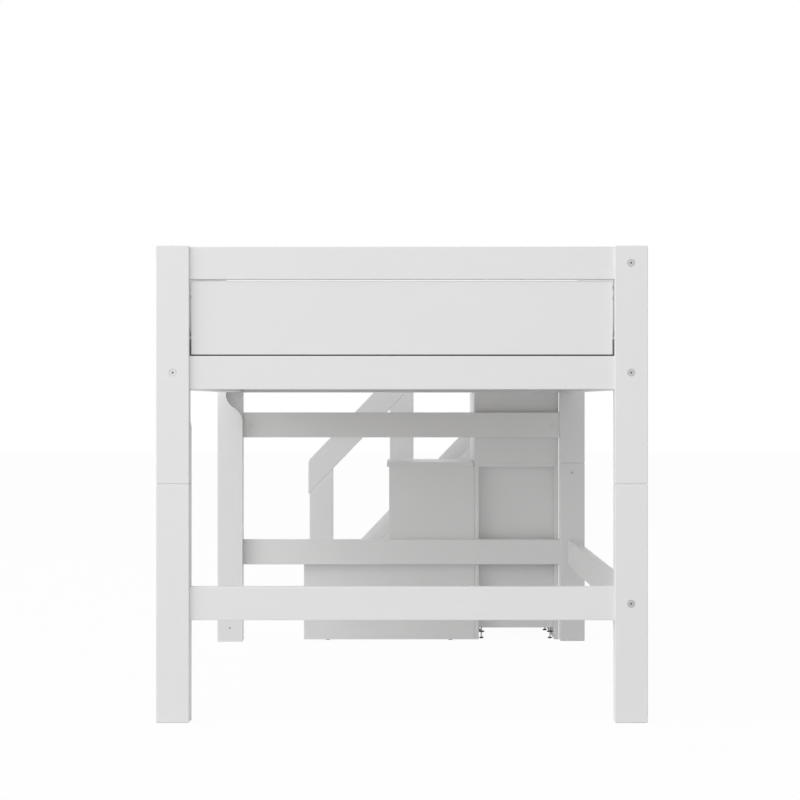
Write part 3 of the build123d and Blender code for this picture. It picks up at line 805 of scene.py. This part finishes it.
@dataclass
class EasedBoards:
    """Square-edged packed boards, rebuilt with the small rounded edge of a banded or planed board."""

    finishes: Wardrobe
    band_radius: float = 0.0009
    planed_radius: float = 0.0014
    balustrade_radius: float = 0.0022
    rail_end_radius: float = 0.0016

    def build(self) -> None:
        """Rebuild each node of the stairs, drawers, braces and balustrade."""
        foil = self.finishes.get(FOIL_FINISH)
        for node in (
            "stair_near_panel", "stair_far_panel", "stair_end_panel", "lower_tread", "middle_tread",
            "upper_tread", "cabinet_sides", "cabinet_decks", "cabinet_back", "top_box_panels",
            "lower_drawer_front", "middle_drawer_front", "upper_drawer_front", "cupboard_door",
        ):
            self.rebuild(node, self.band_radius, foil)
        for node, grain in (
            ("left_braces", Grain.UP), ("handrail", Grain.SLANTED), ("stringer", Grain.SLANTED),
            ("landing_rail", Grain.ACROSS), ("balustrade_posts", Grain.UP),
            ("slat_ledgers", Grain.ALONG),
        ):
            self.rebuild(node, self.balustrade_radius, self.finishes.get(LACQUERS[grain]))
        for node in (
            "front_top_rail", "front_panel", "front_bed_rail", "front_stretcher", "rear_guard_rail",
            "rear_guard_panel", "rear_bed_rail", "rear_cross_rail", "rear_stretcher",
        ):
            self.rebuild(node, self.rail_end_radius, self.finishes.get(LACQUERS[Grain.ACROSS]))
        for node in (
            "left_bed_rail", "left_guard_board", "right_bed_rail", "right_guard_rail",
            "right_guard_panel", "right_stretcher",
        ):
            self.rebuild(node, self.rail_end_radius, self.finishes.get(LACQUERS[Grain.ALONG]))
        for node, grain in (
            ("lower_drawer_box", Grain.ACROSS), ("middle_drawer_box", Grain.ALONG),
            ("upper_drawer_box", Grain.ALONG), ("drawer_runners", Grain.ACROSS),
        ):
            self.rebuild(node, self.planed_radius, self.finishes.get(PINES[grain]))
        self.rebuild("slats", self.planed_radius, self.finishes.get(LIMED_PINE))

    def rebuild(self, node: str, radius: float, finish: bpy.types.Material) -> None:
        """Rebuild one node with rounded edges.

        Args:
            node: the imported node.
            radius: width of the rounding.
            finish: what it is finished in.
        """
        shape = merged_copy(node)
        soften(shape, radius)
        stand_for(new_piece(f"{node}_board", shape, [finish]), node)


@dataclass
class Fasteners:
    """Bolt heads with sockets painted near black as the shade inside them, and caps of which the larger
    ones have a ring and a middle hole painted dark as the shade inside it.
    """

    finishes: Wardrobe
    head_depth: float = 0.003
    socket_sides: int = 6
    socket_side: float = 0.003
    socket_play: float = 0.0002
    wall_area: float = 8e-6
    large_cap_area: float = 2.5e-4
    ring_widths: tuple[float, ...] = (0.0016, 0.0012, 0.0030, 0.0022)
    ring_depths: tuple[float, ...] = (0.0, -0.0009, 0.0007, 0.0)
    pierced_width: float = 0.0003
    pierced_depth: float = 0.0015

    def build(self) -> None:
        """Rebuild the bolts and the caps, and finish the smaller fasteners."""
        self.build_bolts()
        self.build_caps()
        for node in ("barrel_nuts", "leg_studs", "hinge_frame_leaves", "hinge_door_leaves"):
            paint(node, self.finishes.get(ZINC))
        # The sunk screw heads take the same near-black steel and read as dark dots
        paint("screws", self.finishes.get(RECESS_SHADE_STEEL))
        paint("rail_dowels", self.finishes.get(LIMED_PINE))

    def is_socket_floor(self, face: bmesh.types.BMFace) -> bool:
        """Whether a face is the six-sided floor of a bolt's socket."""
        even = all(abs(edge.calc_length() - self.socket_side) < self.socket_play for edge in face.edges)
        return len(face.verts) == self.socket_sides and even

    def build_bolts(self) -> None:
        """Copy the bolts, whiten the head on the front left post and paint each socket near black as
        painted shade.
        """
        finishes = [self.finishes.get(finish) for finish in (BOLT_STEEL, RECESS_SHADE_STEEL, WHITE_PLASTIC)]
        socket_shade_slot, white = 1, 2
        shape = merged_copy("frame_bolts")
        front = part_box("front_left_post")[0][1] + self.head_depth
        for face in shape.faces:
            middle = face.calc_center_median()
            if middle.x < 0 and middle.y < front:
                face.material_index = white
        # Painted shade: each socket's floor and small walls take the near-black steel in place of the
        # shade inside it
        for face in filter(self.is_socket_floor, shape.faces):
            face.material_index = socket_shade_slot
            for near in (other for edge in face.edges for other in edge.link_faces):
                if near.calc_area() < self.wall_area:
                    near.material_index = socket_shade_slot
        stand_for(new_piece("bolt_heads_and_shanks", shape, finishes), "frame_bolts")

    def build_caps(self) -> None:
        """Copy the caps, and give the two larger ones, on the right posts, a ring and a middle hole
        painted dark grey as the shade inside it.
        """
        finishes = [self.finishes.get(WHITE_PLASTIC), self.finishes.get(DARK_PLASTIC_AND_HOLE_SHADE)]
        grey = 1
        shape = merged_copy("cover_caps")
        for face in [face for face in shape.faces if face.calc_area() > self.large_cap_area]:
            for width, depth in zip(self.ring_widths, self.ring_depths):
                bmesh.ops.inset_region(shape, faces=[face], thickness=width, depth=depth)
            pierced = bmesh.ops.inset_region(
                shape, faces=[face], thickness=self.pierced_width, depth=-self.pierced_depth
            )
            # Painted shade: the hole's floor and walls take the dark plastic in place of the shade inside
            # it
            for part in (face, *pierced["faces"]):
                part.material_index = grey
        stand_for(new_piece("nut_and_hole_caps", shape, finishes), "cover_caps")


@dataclass
class LevellingFeet:
    """Four screw feet under the cabinet: a ribbed pad, a threaded rod and a knurled locking wheel."""

    finishes: Wardrobe
    node: str = "levelling_feet"
    pad_radius: float = 0.0075
    pad_height: float = 0.005
    pad_facets: int = 32
    edge: float = 0.0008
    rod_radius: float = 0.003
    rod_facets: int = 20
    rod_sink: float = 0.001
    rod_taper: float = 0.0006
    thread_depth: float = 0.00045
    thread_pitch: float = 0.0016
    wheel_radius: float = 0.011
    wheel_bottom: float = 0.023
    wheel_height: float = 0.004
    grip_count: int = 24
    grip_depth: float = 0.0008

    def build(self) -> None:
        """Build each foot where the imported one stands, and let the first stand for the node."""
        low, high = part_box(self.node)
        reach = self.wheel_radius
        places = product((low[0] + reach, high[0] - reach), (low[1] + reach, high[1] - reach))
        for number, (x, y) in enumerate(places):
            foot = Vector((x, y, 0.0))
            rod = new_piece(
                f"foot_rod_{number}", self.rod(foot, high[2]), [self.finishes.get(ZINC)], smooth=True
            )
            stand_for(rod, self.node, number == 0)
            grey = [self.finishes.get(DARK_PLASTIC_AND_HOLE_SHADE)]
            grips = new_piece(f"foot_pad_and_wheel_{number}", self.grips(foot), grey)
            stand_for(grips, self.node, False)

    def rod(self, foot: Vector, top: float) -> bmesh.types.BMesh:
        """Threaded rod from the pad up into the cabinet floor.

        Args:
            foot: the middle of the pad's underside.
            top: height of the rod's end.

        Returns:
            The rod, with a groove for every turn of the thread.
        """
        start, root = self.pad_height - self.rod_sink, self.rod_radius - self.thread_depth
        turns = int((top - start - 2 * self.thread_pitch) / self.thread_pitch)
        profile = [(0.0, start), (root, start)]
        for turn in range(turns):
            level = start + (turn + 0.5) * self.thread_pitch
            profile += [(root, level), (self.rod_radius, level + self.thread_pitch / 2)]
        profile += [(root, top - self.thread_pitch), (root - self.rod_taper, top), (0.0, top)]
        return turned(profile, foot, self.rod_facets)

    def grips(self, foot: Vector) -> bmesh.types.BMesh:
        """Pad with an eased edge, and the locking wheel with notches round its rim.

        Args:
            foot: the middle of the pad's underside.

        Returns:
            The pad and the wheel in one shape.
        """
        edge, radius, height = self.edge, self.pad_radius, self.pad_height
        pad = [
            (0.0, 0.0), (radius - edge, 0.0), (radius, edge),
            (radius, height - 2 * edge), (radius - 2 * edge, height), (0.0, height),
        ]
        shape = turned(pad, foot, self.pad_facets)
        radius, base, crown = self.wheel_radius, self.wheel_bottom, self.wheel_bottom + self.wheel_height
        wheel = [
            (0.0, base), (radius - edge, base), (radius, base + edge),
            (radius, crown - edge), (radius - edge, crown), (0.0, crown),
        ]
        disc = turned(wheel, foot, 2 * self.grip_count)
        rim = [vert for vert in disc.verts if (vert.co.xy - foot.xy).length > radius - MERGE_PACKED]
        for vert in rim:
            step = round(math.atan2(vert.co.y - foot.y, vert.co.x - foot.x) * self.grip_count / math.pi)
            if step % 2:
                vert.co.xy = foot.xy + (vert.co.xy - foot.xy) * (1 - self.grip_depth / radius)
        join_shape(shape, disc)
        return shape


@dataclass
class Mattress:
    """Foam mattress in a quilted pale cover, with a charcoal border band kept near black as painted shade
    in the gaps beside the head panel, and piping along both seams.
    """

    finishes: Wardrobe
    node: str = "mattress"
    slack: float = 0.010
    corner: float = 0.045
    corner_facets: int = 6
    edge: float = 0.016
    edge_facets: int = 4
    rim_angle: float = 60.0
    voxel: float = 0.015
    pressure: float = 4.0
    cloth_quality: int = 4
    frames: int = 20
    most_move: float = 0.014
    smoothing: float = 0.4
    clearance: float = 0.0012
    seam_inset: float = 0.017
    tuft_spacing: float = 0.142
    tuft_depth: float = 0.0075
    puff_power: float = 0.5
    border_rib: float = 0.0009
    rib_pitch: float = 0.034
    piping_radius: float = 0.0036
    piping_step: float = 0.03
    piping_sink: float = 0.2
    low: Vector = field(init=False)
    high: Vector = field(init=False)

    def __post_init__(self) -> None:
        """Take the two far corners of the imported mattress."""
        self.low, self.high = (Vector(corner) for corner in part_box(self.node))

    def build(self) -> None:
        """Pad, sim, quilt and dress the mattress, then sew the piping round it."""
        shape = self.quilt(self.swell(self.blank()))
        cloths = [self.finishes.get(COVER_TOP), self.finishes.get(COVER_BORDER_AND_SHADE)]
        piece = new_piece("mattress_cover", shape, cloths, smooth=True)
        stand_for(piece, self.node)
        levels = {"lower": self.low.z + self.seam_inset, "upper": self.high.z - self.seam_inset}
        for name, level in levels.items():
            self.sew_piping(piece, f"mattress_piping_{name}", level)

    def blank(self) -> bpy.types.Object:
        """Slightly smaller block with rounded corners, remeshed to even squares.

        Returns:
            The object that the cloth works on.
        """
        shape = bmesh.new()
        bmesh.ops.create_cube(shape, size=1.0)
        size = self.high - self.low - Vector((2, 2, 2)) * self.slack
        bmesh.ops.scale(shape, vec=size, verts=shape.verts)
        bmesh.ops.translate(shape, vec=(self.high + self.low) / 2, verts=shape.verts)
        rises = {edge: abs(edge.verts[0].co.z - edge.verts[1].co.z) for edge in shape.edges}
        upright = [edge for edge, rise in rises.items() if rise > self.edge]
        bmesh.ops.bevel(
            shape, geom=upright, offset=self.corner, segments=self.corner_facets, **ROUNDING
        )
        rims = [edge for edge in shape.edges if edge.calc_face_angle(0.0) > math.radians(self.rim_angle)]
        bmesh.ops.bevel(shape, geom=rims, offset=self.edge, segments=self.edge_facets, **ROUNDING)
        mesh = bpy.data.meshes.new("mattress_blank")
        shape.to_mesh(mesh)
        shape.free()
        block = bpy.data.objects.new("mattress_blank", mesh)
        bpy.context.scene.collection.objects.link(block)
        remesh = block.modifiers.new("even", "REMESH")
        remesh.mode = "VOXEL"
        remesh.voxel_size = self.voxel
        settle_modifiers(block)
        return block

    def swell(self, block: bpy.types.Object) -> bpy.types.Object:
        """Blow the cover up with Cloth pressure, and hold each point's move to most_move.

        Args:
            block: the remeshed blank.

        Returns:
            The same object with its swollen mesh.
        """
        still = [vert.co.copy() for vert in block.data.vertices]
        cloth = block.modifiers.new("cover", "CLOTH")
        cloth.settings.use_pressure = True
        cloth.settings.uniform_pressure_force = self.pressure
        cloth.settings.effector_weights.gravity = 0.0
        cloth.settings.quality = self.cloth_quality
        cloth.point_cache.frame_end = self.frames
        scene = bpy.context.scene
        for step in range(1, self.frames + 1):
            scene.frame_set(step)
        settle_modifiers(block)
        scene.frame_set(1)
        for vert, start in zip(block.data.vertices, still):
            move = vert.co - start
            if move.length > self.most_move:
                vert.co = start + move.normalized() * self.most_move
        return block

    def quilt(self, block: bpy.types.Object) -> bmesh.types.BMesh:
        """Tuft the faces, rib the border and mark which cloth each face is cut from.

        Args:
            block: the swollen cover, removed here.

        Returns:
            The finished cover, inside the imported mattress's box.
        """
        shape = bmesh.new()
        shape.from_mesh(block.data)
        bpy.data.objects.remove(block)
        bmesh.ops.subdivide_edges(
            shape, edges=shape.edges, cuts=1, use_grid_fill=True, smooth=self.smoothing
        )
        middle = (self.low + self.high) / 2
        half = (self.high - self.low) / 2
        inner = half - Vector((1, 1, 1)) * self.clearance
        for vert in shape.verts:
            offset = vert.co - middle
            face_share = ramp(abs(offset.z), half.z - 2 * self.seam_inset, half.z - self.seam_inset)
            margin = min(half.x - abs(offset.x), half.y - abs(offset.y))
            hold = face_share * ramp(margin, self.seam_inset, 3 * self.seam_inset)
            puff = abs(
                math.sin(math.pi * (offset.x + offset.y) / self.tuft_spacing)
                * math.sin(math.pi * (offset.x - offset.y) / self.tuft_spacing)
            ) ** self.puff_power
            offset.z -= math.copysign(self.tuft_depth * hold * (1 - puff), offset.z)
            phase = 2 * math.pi * (vert.co.x + vert.co.y) / self.rib_pitch
            rib = self.border_rib * (1 - face_share) * math.sin(phase)
            sideways = Vector((offset.x, offset.y, 0.0)).normalized()
            offset -= sideways * (self.border_rib + rib) * (1 - face_share)
            vert.co = middle + Vector(max(-most, min(most, at)) for at, most in zip(offset, inner))
        # Border faces take the charcoal cloth: a real border band, made near black as painted shade in
        # the gaps beside the head panel
        for face in shape.faces:
            level = abs(face.calc_center_median().z - middle.z)
            face.material_index = int(level < half.z - self.seam_inset)
        return shape

    def sew_piping(self, cover: bpy.types.Object, name: str, level: float) -> None:
        """Lay a round cord of cloth along the seam at one height.

        Args:
            cover: the mattress cover that the cord lies on.
            name: name of the piece.
            level: height of the seam.
        """
        middle = (self.low + self.high) / 2
        half = (self.high - self.low) / 2
        skin = BVHTree.FromObject(cover, bpy.context.evaluated_depsgraph_get())
        rounds = int(4 * (half.x + half.y) / self.piping_step)
        points = []
        for number in range(rounds):
            share = number / rounds * 4
            reach = rim_place(share, half.x - self.corner, half.y - self.corner)
            outward = rim_outward(share, self.corner / (half.x + half.y))
            seam = Vector((middle.x + reach[0], middle.y + reach[1], level))
            start = seam + outward * (2 * self.corner)
            hit = skin.ray_cast(start, -outward)[0]
            if hit is not None:
                points.append(hit - outward * (self.piping_sink * self.piping_radius))
        line = bpy.data.curves.new(name, "CURVE")
        line.dimensions = "3D"
        line.bevel_depth = self.piping_radius
        line.bevel_resolution = 2
        line.resolution_u = 3
        spline = line.splines.new("NURBS")
        spline.points.add(len(points) - 1)
        for place, point in zip(spline.points, points):
            place.co = (*point, 1.0)
        spline.order_u = 3
        spline.use_cyclic_u = True
        cord = bpy.data.objects.new(name, line)
        bpy.context.scene.collection.objects.link(cord)
        shape = bmesh.new()
        shape.from_mesh(bpy.data.meshes.new_from_object(cord))
        bpy.data.objects.remove(cord)
        for vert in shape.verts:
            vert.co.x = max(self.low.x, min(self.high.x, vert.co.x))
            vert.co.y = max(self.low.y, min(self.high.y, vert.co.y))
        stand_for(new_piece(name, shape, [self.finishes.get(PIPING)], smooth=True), self.node, False)


@dataclass(frozen=True)
class SoftLamp:
    """One large lamp.

    Args:
        name: name of the lamp.
        turn: degrees round from the head end, to the right.
        rise: degrees above the floor.
        watts: power of the lamp.
    """

    name: str
    turn: float
    rise: float
    watts: float


@dataclass
class Studio:
    """Plain pale floor, even soft light and the camera of the picture."""

    floor_size: float = 60.0
    floor_colour: Colour = (0.80, 0.80, 0.80, 1.0)
    floor_drop: float = 0.0004
    paper: Colour = (1.0, 1.0, 1.0, 1.0)
    sky_level: float = 0.50
    paper_level: float = 1.0
    white_share: float = 0.965
    lamps: tuple[SoftLamp, ...] = (
        SoftLamp("soft_key", turn=-38.0, rise=46.0, watts=950.0),
        SoftLamp("soft_front", turn=-6.0, rise=16.0, watts=380.0),
        SoftLamp("soft_left", turn=-60.0, rise=22.0, watts=700.0),
        SoftLamp("soft_low_left", turn=-75.0, rise=10.0, watts=800.0),
    )
    lamp_distance: float = 20.0
    lamp_size: float = 11.0
    aim: Vector = field(default_factory=lambda: Vector((0.0, 1.0, 0.6)))
    camera_height: float = 0.8625
    camera_distance: float = 5.960
    camera_shift_left: float = 0.0052
    # Upward, in radians: 1.5 pixels at the picture's focal length of 2222.2 pixels
    camera_pitch: float = 1.5 / 2222.2
    lens: float = 100.0
    sensor_width: float = 36.0
    camera_reach: float = 200.0

    def build(self) -> None:
        """Make the world, the floor, the lamps and the camera."""
        self.light_world()
        self.lay_floor()
        for lamp in self.lamps:
            self.hang_lamp(lamp)
        self.set_camera()
        bpy.context.scene.view_settings.view_transform = "Standard"

    @staticmethod
    def seen(sheet: NodeSheet) -> bpy.types.NodeSocket:
        """1 for rays from the camera, a gloss or a glass, else 0."""
        path = sheet.add("ShaderNodeLightPath").outputs
        glossy = sheet.math("MAXIMUM", path["Is Glossy Ray"], path["Is Transmission Ray"])
        return sheet.math("MAXIMUM", path["Is Camera Ray"], glossy)

    def light_world(self) -> None:
        """White backdrop to the camera, even sky to the object."""
        world = bpy.data.worlds.new("studio")
        world.use_nodes = True
        world.node_tree.nodes.clear()
        sheet = NodeSheet(world.node_tree)
        sky = sheet.add("ShaderNodeBackground", {"Color": self.paper, "Strength": self.sky_level})
        backdrop = sheet.add("ShaderNodeBackground", {"Color": self.paper, "Strength": self.paper_level})
        shaders = {0: self.seen(sheet), 1: sky.outputs[0], 2: backdrop.outputs[0]}
        mix = sheet.add("ShaderNodeMixShader", shaders)
        sheet.add("ShaderNodeOutputWorld", {"Surface": mix.outputs[0]})
        bpy.context.scene.world = world

    def lay_floor(self) -> None:
        """Pale floor that reads as white to the camera but keeps a faint shadow."""
        shape = bmesh.new()
        bmesh.ops.create_grid(shape, x_segments=1, y_segments=1, size=self.floor_size / 2)
        bmesh.ops.translate(shape, verts=shape.verts, vec=(0.0, 0.0, -self.floor_drop))
        material = bpy.data.materials.new("studio_floor")
        material.use_nodes = True
        material.node_tree.nodes.clear()
        sheet = NodeSheet(material.node_tree)
        matt = sheet.add("ShaderNodeBsdfDiffuse", {"Color": self.floor_colour})
        paper = sheet.add("ShaderNodeEmission", {"Color": self.paper, "Strength": self.paper_level})
        share = sheet.math("MULTIPLY", self.seen(sheet), self.white_share)
        mix = sheet.add("ShaderNodeMixShader", {0: share, 1: matt.outputs[0], 2: paper.outputs[0]})
        sheet.add("ShaderNodeOutputMaterial", {"Surface": mix.outputs[0]})
        new_piece("studio_floor", shape, [material])

    def hang_lamp(self, lamp: SoftLamp) -> None:
        """Hang a large soft lamp far off, aimed at the bed's middle.

        Args:
            lamp: the lamp to hang.
        """
        light = bpy.data.lights.new(lamp.name, "AREA")
        light.energy = lamp.watts
        light.size = self.lamp_size
        turn, rise = math.radians(lamp.turn), math.radians(lamp.rise)
        level = math.cos(rise)
        way = Vector((math.sin(turn) * level, -math.cos(turn) * level, math.sin(rise)))
        holder = bpy.data.objects.new(lamp.name, light)
        holder.location = self.aim + way * self.lamp_distance
        holder.rotation_euler = (-way).to_track_quat("-Z", "Y").to_euler()
        bpy.context.scene.collection.objects.link(holder)

    def set_camera(self) -> None:
        """Camera at the head end, level with the space under the bed."""
        camera = bpy.data.cameras.new("camera")
        camera.lens = self.lens
        camera.sensor_width = self.sensor_width
        camera.clip_end = self.camera_reach
        holder = bpy.data.objects.new("camera", camera)
        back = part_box("front_left_post")[0][1] - self.camera_distance
        holder.location = (-self.camera_shift_left, back, self.camera_height)
        holder.rotation_euler = (math.pi / 2 + self.camera_pitch, 0.0, 0.0)
        bpy.context.scene.collection.objects.link(holder)
        bpy.context.scene.camera = holder


def main() -> None:
    """Build every sub-assembly in order and report it."""
    logging.basicConfig(level=logging.INFO, format="%(name)s %(message)s")
    finishes = Wardrobe()
    Studio().build()
    Uprights(finishes).dress()
    EasedBoards(finishes).build()
    Fasteners(finishes).build()
    paint("glides", finishes.get(DARK_PLASTIC_AND_HOLE_SHADE))
    LevellingFeet(finishes).build()
    Mattress(finishes).build()


if __name__ == "__main__":
    main()
